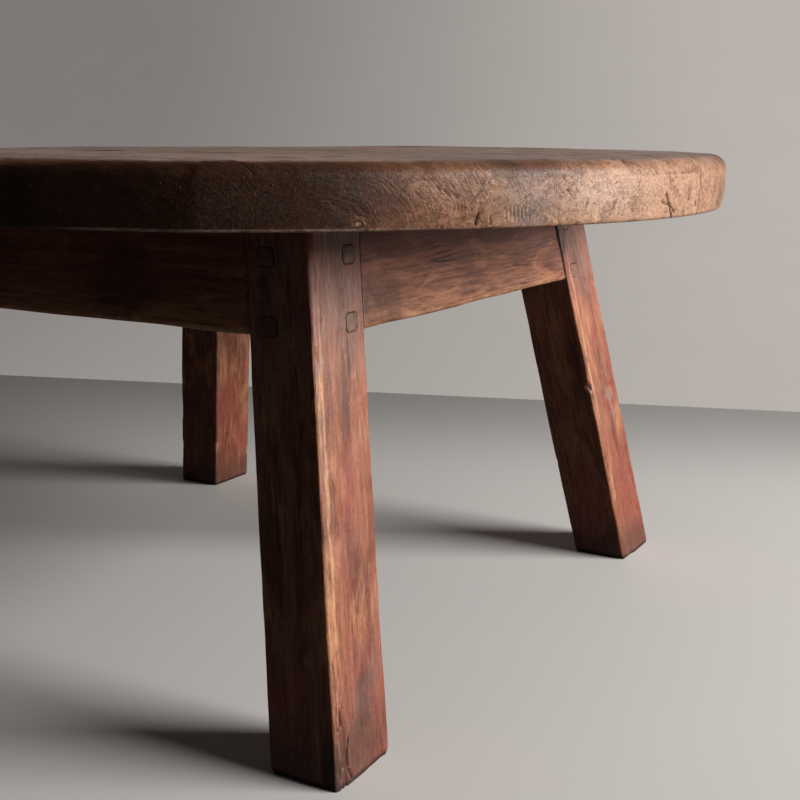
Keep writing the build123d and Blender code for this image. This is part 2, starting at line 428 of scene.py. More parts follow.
# How far the rim stands out, and how far the top is off level towards it, in mm by degrees round the slab.
RIM_SHAPE = (
    (-180, 0), (-150, -2), (-120, -3), (-100, -5), (-90, -7), (-74, -8), (-65, -2), (-57, 5), (-50, 5),
    (-42, 3), (-33, 1), (-24, 0), (-12, 0), (-3, -1), (3, -2), (12, -3.5), (20, -3), (45, 1), (70, -1), (90, 0),
    (130, 1.5), (160, -1.5), (180, 0),
)
TOP_SAG = (
    (-180, -7), (-150, -4), (-120, -1.5), (-74, 0), (-52, -0.7), (-36, 0), (-14, -0.2), (20, 0), (60, 0),
    (100, 0), (119, -2.5), (128, -4), (135, -6), (142, -7), (155, -9), (168, -9), (180, -7),
)
# Painted shade on the rim, strongest where it turns away from the lamp, and how worn it is, partly painted light
# where it faces the lamp.
RIM_PAINTED_SHADE = (
    (-180, 0.35), (-150, 0.5), (-120, 0.7), (-95, 0.95), (-60, 1.1), (-53, 1.05), (-47, 0.95), (-43, 0.72),
    (-40, 0.45), (-36, 0.25), (-32, 0.16), (-28, 0.2), (-24, 0.05), (0, 0), (20, 0.15), (60, 0.35), (100, 0.5),
    (140, 0.25), (180, 0.35),
)
RIM_WEAR_AND_PAINTED_LIGHT = (
    (-180, 0.25), (-140, 0.1), (-50, 0), (-43, 0), (-38, 0.12), (-33, 0.38), (-29, 0.2), (-25, 0.35), (-21, 0.85),
    (-12, 0.95), (-6, 0.85), (0, 0.7), (15, 0.5), (40, 0.2), (80, 0.1), (120, 0.4), (150, 0.3), (180, 0.25),
)


def by_angle(table, x, y):
    """A value from a table of (degrees, value) round the slab."""
    angles, values = zip(*table)
    return np.interp(np.degrees(np.arctan2(y, x)), angles, values)


def top_level(x, y, number):
    """Height of the worn, slightly warped top surface."""
    share = smooth(np.hypot(x, y) / SLAB_RADIUS, 0.35, 1)
    flat = stack(x, y, 0)
    cup = ((y - SEAMS[number - 1]) / (SEAMS[number] - SEAMS[number - 1]) * 2 - 1) ** 2
    dips = 0.35 * rough_noise(flat, 0.09, 100 + number) + 0.12 * rough_noise(flat, (0.03, 0.012, 1), 140 + number)
    dents = 0.5 * smooth(noise(flat, 0.022, 170), 0.62, 0.95)
    scores = 0.35 * smooth(noise(flat, (0.05, 0.006, 1), 171), 0.7, 1)
    wear = np.maximum(0.3 - dips, 0) + dents + scores + 0.35 * (1 - cup)
    return TABLE_TOP + (by_angle(TOP_SAG, x, y) * share - wear) * MM


def rim_profile():
    """Nominal height share (1 top, 0 bottom) and inset of the rim, from the top edge down."""
    turn, foot_turn = np.linspace(0, math.pi / 2, 11), np.linspace(0, math.pi / 2, 6)[1:]
    side = np.r_[np.linspace(RIM_TOP_ROUND, RIM_FINE, 29)[1:], np.linspace(RIM_FINE, RIM_FOOT, 15)[1:]]
    height = np.r_[(1 - np.cos(turn)) * RIM_TOP_ROUND, side, RIM_FOOT + np.sin(foot_turn) * 0.0025]
    inset = np.r_[(1 - np.sin(turn)) * RIM_TOP_ROUND, 0 * side, (1 - np.cos(foot_turn)) * 0.0022]
    swell = RIM_BULGE * (1 - np.sin(np.pi * height / SLAB_THICKNESS))
    return 1 - height / SLAB_THICKNESS, inset + swell


RIM_SHARE, RIM_INSET = rim_profile()


# Where the comb of tool marks starts and its pitch, in degrees, then each mark's top, bottom and depth in mm.
COMB_START, COMB_PITCH = -31.3, 0.4
COMB = (
    (369.4, 363.8, 0.6), (370.8, 364, 0.8), (371.2, 363.2, 0.7), (371.4, 364.4, 0.9), (370.6, 363.6, 0.6),
    (370.2, 365, 0.7), (369.6, 364.2, 0.5),
)
# Marks on the rim, each a line of (degrees round the slab, height in mm) with a width and depth in mm.
RIM_MARKS = (
    (((-9.8, 375.5), (-9.3, 371), (-9, 367.8), (-8.4, 362), (-8, 357.5)), 0.9, 2.6),
    (((-10.6, 370.6), (-10, 368.6), (-9.2, 368.4)), 0.8, 1.8),
    (((-9, 368), (-8.2, 365), (-7.8, 362)), 0.8, 1.8),
    (((-2.55, 368), (-2.45, 365.6)), 1.2, 2.6),
    (((-34, 368.3), (-34.15, 361)), 0.7, 2.2),
    (((-32.75, 365.8), (-32.6, 361)), 0.6, 1.8),
    (((-47.4, 374.2), (-46.4, 371), (-45.4, 368.4), (-44.4, 366.4)), 0.6, 0.35),
    (((-38.3, 385.5), (-38, 382.8)), 0.6, 0.6),
    (((-37.6, 382.2), (-37.1, 378.8)), 0.6, 0.6),
    (((-36.6, 379.4), (-36.2, 376.8)), 0.6, 0.5),
    (((-36.9, 385.4), (-36.6, 383.4)), 0.6, 0.4),
    (((-22.1, 373), (-22.3, 367.6)), 0.7, 1),
    *(
        (((COMB_START + k * COMB_PITCH, upper), (COMB_START + 0.2 + k * COMB_PITCH, lower)), 0.6, deep)
        for k, (upper, lower, deep) in enumerate(COMB)
    ),
    (((-26.4, 365.8), (-26.1, 364.4)), 1.2, 0.8),
    (((-25, 388.4), (-24.95, 387.8)), 0.9, 1.2),
    (((-24.5, 380.4), (-24.4, 379.8)), 1, 1.4),
    (((-15.7, 389.8), (-15.65, 389.2)), 1, 1.3),
    (((-4.7, 371.6), (-4.5, 369)), 0.8, 0.9),
)
KNOT_PLACE, KNOT_SIZE = (-44.65, 362.9), (2.9, 1.9)
MARK_RANGES = (
    (-47.8, -45.6), (-45.2, -42.7), (-38.1, -35.6), (-34.4, -32.3), (-31.6, -28.4), (-25.2, -24.2), (-22.6, -21.9),
    (-10.8, -7.7), (-4.9, -4.3), (-2.8, -2.2),
)


def rim_marks(angle, level):
    """Depth of the cuts, checks and holes in the rim, in mm, and the distance from the middle
    of the small knot, 1 at its bark ring."""
    arc = SLAB_RADIUS / MM
    s, z = angle * arc, level / MM
    lines = [(tuple((math.radians(a) * arc, up) for a, up in line), *size) for line, *size in RIM_MARKS]
    knot_s = (s - math.radians(KNOT_PLACE[0]) * arc) / KNOT_SIZE[0]
    return cut_depth(s, z, lines), np.hypot(knot_s, (z - KNOT_PLACE[1]) / KNOT_SIZE[1])


def bark(ring):
    return np.exp(-(((ring - 1) / BARK_WIDTH) ** 2))


def rim_radius(x, y, number):
    """Radius of the hand-cut rim: lobed, tooled in flats, chipped along the upper arris."""
    angle, share = np.arctan2(y, x), RIM_SHARE
    around = stack(np.cos(angle) * SLAB_RADIUS, np.sin(angle) * SLAB_RADIUS, (1 - share) * SLAB_THICKNESS)
    window = smooth(share, 0, 0.12) * smooth(1 - share, 0, 0.12)
    lobes = by_angle(RIM_SHAPE, x, y) + 0.5 * noise(around, (0.12, 0.12, 0.2), 200) + BOARD_PROUD[number]
    flats = 0.35 * noise(around, (0.022, 0.022, 0.05), 210) * window
    grain = 0.16 * rough_noise(around, (0.006, 0.006, 0.003), 220) * window
    nicks = smooth(noise(around, (0.012, 0.012, 0.006), 233), 0.76, 0.97)
    chips = 0.9 * smooth(noise(around, (0.02, 0.02, 0.5), 240), 0.45, 0.8) * smooth(share, 0.72, 0.9)
    cuts, ring = rim_marks(angle, UNDERSIDE + share * SLAB_THICKNESS)
    marks = 0.7 * cuts + 0.3 * bark(ring)
    radius = SLAB_RADIUS + (lobes + flats + grain - nicks - chips - marks) * MM - RIM_INSET
    return np.minimum(radius, BOX_REACH / np.maximum(np.abs(np.cos(angle)), np.abs(np.sin(angle))))


def board_channels(points, number):
    x, y, z = np.moveaxis(points, -1, 0)
    where = stack(x, y, 0.5 * z)
    pith_y, pith_z = PITHS[number - 1]
    radius, degrees = np.hypot(x, y), np.degrees(np.arctan2(y, x))
    # Painted shade on the rim by angle, darker where it turns away from the lamp.
    painted_shade = np.clip(by_angle(RIM_PAINTED_SHADE, x, y), 0, 1)
    # Wear by angle, partly painted light where the rim faces the lamp.
    worn = by_angle(RIM_WEAR_AND_PAINTED_LIGHT, x, y)

    # Zones of the board.
    on_top = smooth(z, 0.388, 0.399)
    on_face = smooth(z, 0.395, 0.3992)
    flat = smooth(SLAB_RADIUS + by_angle(RIM_SHAPE, x, y) * MM - 0.0055 - radius, 0, 0.006) * (z > 0.38)
    rim_top = smooth(radius, 0.397, 0.408) * smooth(z, 0.386, 0.392)
    arris = smooth(z, 0.387, 0.3905) * smooth(radius, 0.395, 0.403)
    on_rim = smooth(radius, 0.385, 0.395) * (1 - on_top)
    # The rim's lower arris. In the painted shade its wear, grey and lightened dark tint make a painted light line,
    # as light thrown up from the floor.
    foot = smooth(0.3608 - z, 0, 0.001) * smooth(z, 0.3582, 0.3586) * smooth(radius, 0.402, 0.408)
    cuts, ring = rim_marks(np.arctan2(y, x), z)
    seam_width = (0.0004 + 0.0012 * on_face) * (1 + 0.5 * noise(points, 0.03, 265))
    seam = [
        np.maximum(SEAM_DIRT[k], flat) * np.exp(-abs(y - SEAMS[k]) / seam_width)
        for k in range(max(number - 1, 1), min(number, 5) + 1)
    ]

    # Rim wear, stronger where the rim faces the lamp and so partly painted light, with a painted light line along
    # the lower arris.
    wear = (0.3 + 0.3 * (1 - painted_shade)) * rim_top * (0.6 + 0.8 * noise(where, 0.02, 260)) * (1 - 0.6 * arris)
    wear += 0.7 * on_rim * (worn * (1 - 0.7 * arris) + smooth(0.7 - ring, 0, 0.4)) + 0.32 * painted_shade * foot
    flecks = smooth(noise(points, (0.006, 0.006, 0.003), 268), 0.35, 0.7)
    wear += flecks * rim_top * blob(degrees, 0, (-72, 0), (11, 1))
    wear += on_top * (0.15 + 0.3 * smooth(noise(where, (0.2, 0.09, 1), 266), 0, 0.7))

    dirt = 1.1 * np.max(seam, axis=0) + (0.8 * smooth(cuts, 0.2, 1.2) + 1.7 * bark(ring)) * on_rim
    dirt += 0.5 * smooth(-z, -0.3583, -0.3581)
    dirt += 0.5 * on_top * smooth(noise(where, (0.07, 0.05, 1), 267), 0.45, 0.9)

    # Patina, less in the painted shade. The grey patch at -20 degrees is partly a painted highlight, the level
    # top's pale grey partly a painted reflection, and the grey along the lower arris part of its painted light
    # line.
    patina = 0.3 * smooth(noise(where, (0.05, 0.05, 0.03), 261), 0.15, 0.7) * (1 - painted_shade)
    patina += 0.6 * blob(degrees, z, (-28.5, 0.372), (2.6, 0.012))
    patina += 0.7 * blob(degrees, z, (-20, 0.377), (5.5, 0.011))
    patina = patina * on_rim + 0.85 * flat + 0.6 * painted_shade * foot

    blotch = noise(where, (0.035, 0.035, 0.02), 262)
    # The dark tint: the rim's painted shade, also carried up over the top rounding, with board tone, blotches and
    # a dark patch.
    darks = on_rim * (painted_shade + 0.1 * blotch * (painted_shade > 0.08)) + BOARD_DARK[number] * (1 + on_top)
    darks += 0.3 * on_top * smooth(blotch, 0.2, 0.8) + 0.75 * painted_shade * rim_top * (1 - flat) * (1 - on_rim)
    darks += 0.36 * arris * (1 - 0.7 * worn) * (1 - painted_shade)
    darks += 0.3 * on_rim * blob(degrees, z, (-28, 0.372), (4, 0.014))
    darks += 0.25 * arris * blob(degrees, 0, (-27, 0), (5, 1))
    round_knot, in_knot = smooth(3.2 - ring, 0, 1.6) * on_rim, smooth(0.8 - ring, 0, 0.3) * on_rim
    # The dark tint is lightened along the lower arris for its painted light line, and round the knot.
    darks *= (1 - 0.9 * foot) * (1 - 0.2 * round_knot) * (1 - 0.7 * in_knot)

    golds = worn * (1 - 0.6 * arris) + 0.35 * smooth(noise(where, (0.06, 0.06, 0.03), 263), -0.1, 0.5)
    # Gold and red shift with the painted shade: more gold towards the lamp, more red away from it.
    golds = golds * on_rim * (1 - 0.7 * painted_shade) + (0.15 + 0.4 * (1 - painted_shade)) * rim_top + BOARD_GOLD[number] * flat
    reds = 0.3 * smooth(noise(where, 0.11, 264), 0.1, 0.7) + arris * (1 - 0.5 * worn) + 0.3 * painted_shade * on_rim
    return look((x + 1.7 * number, y - pith_y, z - pith_z), (wear, dirt, patina), (reds, golds, darks))


def eased(near):
    """How far a board's edge is eased at a distance from its joint."""
    return SEAM_EASE * np.clip(1 - near / SEAM_EASE_REACH, 0, 1) ** 2


def middle_board(number):
    """A board with the rim at both ends: one loop for each row across it, with more rows at its
    joints, so that the eased edges are round."""
    low, high = SEAMS[number - 1], SEAMS[number]
    steps = np.array(SEAM_ROWS) * MM
    front_rows, back_rows = low + JOINT_LINE + steps, high - JOINT_LINE - steps[::-1]
    ends = [math.asin(row / SLAB_RADIUS) for row in (front_rows[-1], back_rows[0])]
    fine = [(math.radians(a), math.radians(b)) for a, b in MARK_RANGES]
    turns = spread(*ends, RIM_STEP / SLAB_RADIUS, fine, MARK_STEP / SLAB_RADIUS)
    y = np.r_[front_rows, SLAB_RADIUS * np.sin(turns[1:-1]), back_rows][:, None]
    ease = eased(np.minimum(y - low, high - y) - JOINT_LINE)

    def end(sign):
        """Rim points on one side, from the top edge down."""
        x = sign * np.sqrt(SLAB_RADIUS**2 - y**2)
        radius = rim_radius(x, y, number) - 0.04 * ease
        x = sign * np.sqrt(np.maximum(radius**2 - y**2, 0))
        return stack(x, y, BASE + (top_level(x, y, number) - 0.35 * ease - BASE) * RIM_SHARE)

    right, left = end(1), end(-1)
    half = np.cumsum(np.r_[0, np.linspace(1.5 * MM, TOP_STEP, 7), np.full(41, TOP_STEP)])
    across = np.r_[half, half[-1] + half[-1] - half[-2::-1]] / (2 * half[-1])
    top_x = left[:, :1, 0] + (right[:, :1, 0] - left[:, :1, 0]) * across[1:-1]
    top = stack(top_x, y, top_level(top_x, y, number) - ease)
    under_x = right[:, -1:, 0] + (left[:, -1:, 0] - right[:, -1:, 0]) * np.linspace(0, 1, 26)[1:-1]
    loops = np.concatenate([top, right, stack(under_x, y, BASE), left[:, ::-1]], axis=1)
    return tube(f"board_{number}", loops, board_channels(loops, number), turned=True)


def outer_board(number):
    """The first or last board, a slice of the round: one loop for each column along it."""
    sign = -1 if number == 1 else 1
    joint = SEAMS[1] - JOINT_LINE if number == 1 else SEAMS[-2] + JOINT_LINE
    limit = math.acos(abs(joint) / (SLAB_RADIUS + 0.01))
    turns = spread(-limit, limit, RIM_STEP / SLAB_RADIUS, [(-limit, 0.03 - limit), (limit - 0.03, limit)], 0.0007)
    x = (SLAB_RADIUS * np.sin(turns))[:, None]
    radius = rim_radius(x, sign * np.sqrt(SLAB_RADIUS**2 - x**2), number)
    outline = np.sqrt(np.maximum(radius**2 - x**2, 0)) - abs(joint)
    kept = outline.max(axis=1) > 0.1 * MM
    x, outline = x[kept], outline[kept]
    clear = np.maximum(outline, 0)
    rim_y = joint + sign * clear
    middle = len(RIM_SHARE) // 2
    upper, lower = (
        np.array([np.interp(0, np.maximum.accumulate(row[half]), RIM_SHARE[half]) for row in outline])[:, None]
        for half in (slice(0, middle), slice(None, middle, -1))
    )
    rim_top = top_level(x, rim_y, number) - eased(clear)
    rim = stack(x, rim_y, BASE + (rim_top - BASE) * np.clip(RIM_SHARE, lower, upper))
    near = np.array(SEAM_ROWS) * MM
    width = np.abs(rim[:, :1, 1] - joint)
    wide = width > 4 * MM
    t = np.linspace(0, 1, 40 if number == 6 else 24) ** 1.15
    in_from_joint = np.where(wide, near[-1] + (width - near[-1]) * t, width * t)
    strip = np.concatenate([np.where(wide, near[:-1], 0), in_from_joint], axis=1)[:, :-1]
    top_y = joint + sign * strip
    top = stack(x, top_y, BASE + (top_level(x, top_y, number) - eased(strip) - BASE) * upper)
    under_y = rim[:, -1:, 1] + (joint - rim[:, -1:, 1]) * np.linspace(0, 1, 9)[1:]
    bottom = stack(x, under_y, BASE + (rim_top[:, :1] - BASE) * lower)
    loops = np.concatenate([top, rim, bottom], axis=1)
    loops[..., 1] = np.where(sign * (loops[..., 1] - joint) < 0, joint, loops[..., 1])
    return tube(f"board_{number}", loops, board_channels(loops, number), turned=number == 6)


for number in range(1, 7):
    board = outer_board(number) if number in (1, 6) else middle_board(number)
    wooden(board, f"top_board_{number}", slab_wood)

# ---- legs

LEG_STEP = {"front_right": 0.0016}
FOOT_LEVELS = (0, 0.0004, 0.001, 0.0018, 0.0028)
PEG_ZONE = 0.0098
# How far from a corner the rounded arris can reach, and how far its wear does.
CORE, ARRIS_REACH = 0.008, 0.012

# Cuts and splits in the lit face of a leg: (mm from the arris it shares with the next face, height in mm).
LEG_CUTS = {
    "front_right": (
        (((7.1, 60), (6.2, 54.7), (8.1, 45.6), (9.6, 38)), 0.6, 2.2),
        (((9.6, 38), (2.7, 36.2)), 0.6, 1.6),
        (((15.6, 29), (13.7, 20.8), (13.8, 11), (17.9, 3)), 0.8, 2.8),
        (((4.6, 33), (4.2, 19), (5.4, 6)), 0.6, 1.8),
        (((9.2, 28), (8.6, 13)), 0.5, 1.3),
        (((2, 26), (2.4, 10)), 0.5, 1.2),
        (((19, 39), (32, 30.5), (41.5, 25)), 0.45, 0.5),
        (((43, 262), (42, 252), (44.5, 246.5), (48.2, 250)), 0.4, 0.5),
    ),
    "back_right": (
        (((-1, 180), (1.5, 175)), 1.3, 2.6),
        (((16, 301), (17.2, 290)), 0.5, 1),
        (((8, 322), (9, 305)), 0.45, 0.8),
    ),
}
# Pale chips in the near leg's lit face: strength, (distance from its worn arris, height) and size.
FRONT_CHIPS = (
    (0.9, (0.0145, 0.0108), (0.004, 0.0012)), (0.6, (0.0455, 0.2545), (0.0028, 0.006)),
    (0.5, (0.0285, 0.268), (0.0012, 0.014)),
)
# How far a hand-cut leg strays outwards past its far side, in mm, by height in mm.
LEG_STRAY = {
    "front_right": ((0, 2.6), (35, 2.2), (90, 0), (358, 0)),
    "back_right": ((0, 6), (40, 5), (110, 3), (190, 1), (300, 0), (358, -1)),
}


def peg_outline(along, level):
    """Signed distance from the outline of a peg's end, a rectangle with whittled corners."""
    px = np.abs(along) - PEG_HALF_WIDTH
    pz = np.abs(level) - PEG_HALF_HEIGHT
    corner = (px + pz + PEG_CORNER) / math.sqrt(2)
    return np.maximum(np.maximum(px, pz), corner)


def leg(corner):
    """A square leg that leans both ways: level rings, with worn arrises, pockets for the pegs,
    dents, splits and a chipped foot."""
    sign_x, sign_y = CORNERS[corner]
    seed = 300 + 20 * list(CORNERS).index(corner)
    step = LEG_STEP.get(corner, 0.0023)
    half_a, half_b = LEG_X / 2, LEG_Y / 2
    peg_a, peg_b = -half_a + PEG_FROM_SHOULDER, -half_b + PEG_FROM_SHOULDER

    levels = spread(0, BASE, step, [(p - PEG_ZONE, p + PEG_ZONE) for p in PEG_LEVELS])
    levels = np.r_[FOOT_LEVELS, levels[levels > FOOT_LEVELS[-1] + 0.0007]]
    along_a = spread(CORE - half_a, half_a - CORE, step, [(peg_a - PEG_ZONE, peg_a + PEG_ZONE)])
    along_b = spread(CORE - half_b, half_b - CORE, step, [(peg_b - PEG_ZONE, peg_b + PEG_ZONE)])
    if corner == "front_right":
        splinters = np.arange(half_b - 0.0185, half_b - CORE, 0.0006)
        along_b = np.r_[along_b[along_b < splinters[0] - 0.0003], splinters, half_b - CORE]

    z = levels[:, None]
    centre_a = FOOT_X - half_a - SPLAY_X * z
    centre_b = FOOT_Y - half_b - SPLAY_Y * z
    turn = np.r_[0, 0.1, np.linspace(0, math.pi / 2, 9)[1:-1], math.pi / 2 - 0.1, math.pi / 2]
    near = -1 if sign_y > 0 else 1
    # Each arris by the signs of its two faces: its round in mm, and a seed.
    arrises = {(1, near): 3.2, (1, -near): 2.6, (-1, -1): 2.2, (-1, 1): 2.2}
    arris_seeds = {(1, 1): 0, (1, -1): 1, (-1, -1): 2, (-1, 1): 3}

    def arris_reach(sa, sb):
        """How far a worn arris reaches on to its a and b faces at each level."""
        where = stack(sa, sb, z)
        r = arrises[sa, sb] + 0.7 * noise(where, (9, 9, 0.07), seed + arris_seeds[sa, sb])
        r = r + 0.5 * noise(where, (9, 9, 0.018), seed + 5)
        broad = 1.9 if (sa, sb) == (1, near) else 1.2
        r_a = np.clip(r * 0.8, 1, CORE / MM - 0.4) * MM
        r_b = np.clip(r * broad + 0.8 * (1 - z / UNDERSIDE) * (sa > 0), 1, CORE / MM - 0.2) * MM
        return r_a, r_b

    def arris(sa, sb):
        """Points round one arris, from the a face to the b face."""
        r_a, r_b = arris_reach(sa, sb)
        ca, cb = sa * (half_a - r_a), sb * (half_b - r_b)
        return ca + sa * r_a * np.cos(turn), cb + sb * r_b * np.sin(turn)

    faces, parts_a, parts_b = [], [], []
    for face, a, b in (
        ("a+", half_a, along_b + 0 * z),
        ("++", *arris(1, 1)),
        ("b+", along_a[::-1] + 0 * z, half_b),
        ("-+", *[v[:, ::-1] for v in arris(-1, 1)]),
        ("a-", -half_a, along_b[::-1] + 0 * z),
        ("--", *arris(-1, -1)),
        ("b-", along_a + 0 * z, -half_b),
        ("+-", *[v[:, ::-1] for v in arris(1, -1)]),
    ):
        a, b = np.broadcast_arrays(a, b)
        parts_a.append(a)
        parts_b.append(b)
        faces += [face] * a.shape[1]
    a, b = np.concatenate(parts_a, axis=1), np.concatenate(parts_b, axis=1)
    faces = np.array(faces)
    z = z + 0 * a

    local = stack(a, b, z)
    out_a = np.sign(a) * smooth(np.abs(a) - half_a, -0.006, 0)
    out_b = np.sign(b) * smooth(np.abs(b) - half_b, -0.006, 0)
    length = np.maximum(np.hypot(out_a, out_b), 1e-6)
    out_a, out_b = out_a / length, out_b / length

    push = 0.55 * noise(local, (0.05, 0.05, 0.11), seed + 6)
    push += 0.14 * rough_noise(local, (0.004, 0.004, 0.03), seed + 7)
    push -= 0.9 * smooth(noise(local, (0.012, 0.012, 0.03), seed + 8), 0.6, 0.95)
    push *= smooth(UNDERSIDE - z, 0, 0.01) * smooth(z, 0, 0.01)
    from_a, from_b = (np.minimum(half - np.abs(v), ARRIS_REACH) for half, v in ((half_a, a), (half_b, b)))
    near_arris = smooth(-np.hypot(from_a, from_b), -0.01, -0.003)
    chips = smooth(noise(local, (0.02, 0.02, 0.016), seed + 9), 0.45, 0.8) * near_arris
    foot_wear = smooth(0.004 - z, 0, 0.004) * (1.6 + 0.9 * noise(local, (0.012, 0.012, 1), seed + 10))
    push -= 0.8 * chips + foot_wear

    split = 0 * a
    if corner == "front_right":
        split = smooth(0.014 - (half_a - a) - (half_b - b), 0, 0.004) * smooth(0.06 - z, 0, 0.03)
        ridge = noise(local, (0.0022, 0.0022, 0.05), seed + 11)
        push -= split * (0.6 + 1.3 * smooth(ridge, -0.2, 0.5))
    if corner == "back_right":
        outside = a > 0.8 * half_a
        dents = blob(b, z, (0.016, 0.163), (0.017, 0.021)) * outside
        push -= dents * (0.5 + 2.4 * smooth(noise(local, (0.006, 0.006, 0.009), seed + 12), 0.1, 0.7))
        push += 1.2 * blob(b, z, (0.01, 0.163), (0.016, 0.02)) * outside

    lit = smooth(a, half_a - 0.004, half_a - 0.001)
    cuts = cut_depth((half_b - near * b) / MM, z / MM, LEG_CUTS.get(corner, ())) * lit
    push -= cuts
    stray_heights, strays = zip(*LEG_STRAY.get(corner, ((0, 0), (358, 0))))
    stray = np.interp(z / MM, stray_heights, strays) * MM * smooth(-near * b, half_b - 0.02, half_b - 0.003)

    pocket = 0 * a
    ragged = 0.35 * MM * noise(local, 0.0035, seed + 13)
    for level, (face, along) in itertools.product(PEG_LEVELS, (("a+", b - peg_b), ("b+", a - peg_a))):
        inside = -peg_outline(along - 0.00035, z - level) - ragged
        pocket = np.maximum(pocket, smooth(inside, -0.2 * MM, 0.25 * MM) * (faces == face))
    push = push * (1 - pocket) - 1.7 * pocket

    a2, b2 = a + out_a * push * MM, b + out_b * push * MM - near * stray
    points = stack(sign_x * (centre_a + a2), sign_y * (centre_b + b2), z)

    # The worn arris of the lit face: a bright edge on both sides of its line, worn and partly a painted highlight,
    # and its rounded band.
    from_line = (half_b - near * b) / MM - arris_reach(1, near)[1] / MM
    edge = np.exp(-((from_line / np.where(from_line > 0, 4.8 - 3.5 * smooth(z, 0.16, 0.27), 2.2)) ** 2)) * lit
    edge *= 0.25 + 0.75 * smooth(z, 0.035, 0.09)
    band = smooth(-from_line, -0.6, 0.6) * lit

    wear = 0.4 * near_arris * (0.6 + 0.5 * rough_noise(local, (9, 9, 0.03), seed + 14))
    wear = wear * (1 - 0.6 * smooth(near * b, 0, half_b)) + 0.5 * chips + 0.35 * split
    edge_wear = (0.58 + 0.2 * smooth(z, 0.12, 0.24)) * edge * smooth(0.345 - z, 0, 0.04)
    wear += edge_wear * (0.8 + 0.5 * rough_noise(local, (0.006, 0.006, 0.02), seed + 19))
    band_wear = 0.2 * band * smooth(0.3 - z, 0, 0.08)
    wear += band_wear * (0.8 + 0.6 * rough_noise(local, (0.006, 0.006, 0.012), seed + 20))
    # Dark at the foot, as dirt and a painted contact shadow, in the peg pockets and cuts, and darker towards the
    # top under the slab.
    dirt = 0.9 * (smooth(0.007 - z, 0, 0.006) + pocket + smooth(cuts, 0.25, 1)) + 0.3 * smooth(z, 0.3, 0.356)
    patina = 0.15 + 0.75 * smooth(z, 0.23, 0.3) * (1 - 0.7 * edge) + 0.8 * smooth(0.05 - z, 0, 0.05)
    patina += 0.4 * smooth(noise(local, (0.03, 0.03, 0.07), seed + 15), 0.3, 0.8)
    patina *= 1 - 0.9 * band
    reds = 0.7 * smooth(rough_noise(local, (0.022, 0.022, 0.06), seed + 16), -0.1, 0.5)
    reds += 0.35 * smooth(0.16 - z, 0, 0.12) + 0.5 * band * smooth(z, 0.25, 0.3)
    golds = 0.9 * smooth(rough_noise(local, (0.016, 0.016, 0.05), seed + 17), -0.1, 0.5)
    golds *= smooth(0.29 - z, 0, 0.06) * smooth(z, 0.03, 0.12)
    golds += 0.35 * edge + 0.5 * band * smooth(0.31 - z, 0, 0.06)
    darks = 0.6 * smooth(rough_noise(local, (0.02, 0.02, 0.045), seed + 18), 0.15, 0.75)
    darks += 0.62 * smooth(0.055 - z, 0, 0.04) + 0.3 * split
    darks = darks * (1 - 0.7 * edge) + 0.4 * band * smooth(z, 0.25, 0.31) * (1 - edge)
    if corner == "front_right":
        patch = blob(-b - 0.25 * (z - 0.05), z, (0.008, 0.053), (0.017, 0.028)) * lit
        darks += 0.62 * patch + 0.6 * blob(-b, z, (0.02, 0.34), (0.016, 0.022)) * lit
        patina += 1.1 * patch
        golds *= 1 - 0.8 * patch
        reds += 0.25 * smooth(-b, 0.014, half_b) * lit
        for strength, centre, size in FRONT_CHIPS:
            wear += strength * blob(half_b - b, z, centre, size) * lit
    if corner == "back_right":
        spots = noise(local, (0.007, 0.007, 0.011), seed + 12)
        hurt = blob(b, z, (0.012, 0.166), (0.02, 0.022)) * lit
        grey = smooth((z - 0.298) * 0.64 - (b + half_b), 0, 0.005) * lit
        darks += 0.5 * hurt * smooth(-spots, -0.1, 0.4) + 0.6 * grey
        patina += 1.6 * hurt * smooth(spots, -0.1, 0.4) + 1.2 * grey
        reds += 0.4 * smooth(0.19 - z, 0, 0.05) * smooth(b, -0.02, 0) * lit + 0.6 * hurt
        golds *= (1 - 0.7 * hurt) * (1 - grey)
        wear *= 1 - 0.8 * grey
    channels = look((z + 2.3 * seed / 20, a + 0.035, b + 0.02), (wear, dirt, patina), (reds, golds, darks))
    return tube(f"leg_body_{corner}", points, channels, turned=sign_x * sign_y < 0)


for corner in CORNERS:
    wooden(leg(corner), f"leg_{corner}", leg_wood)

# ---- aprons

SHOULDER_GAP = 0.0003
OPEN_SHOULDER = (0.0035, 0.0085)
TENON_REACH = 0.011
TENON_SHARE = 0.55
END_ROUND = 0.007
SIDES = ("front", "right", "back", "left")


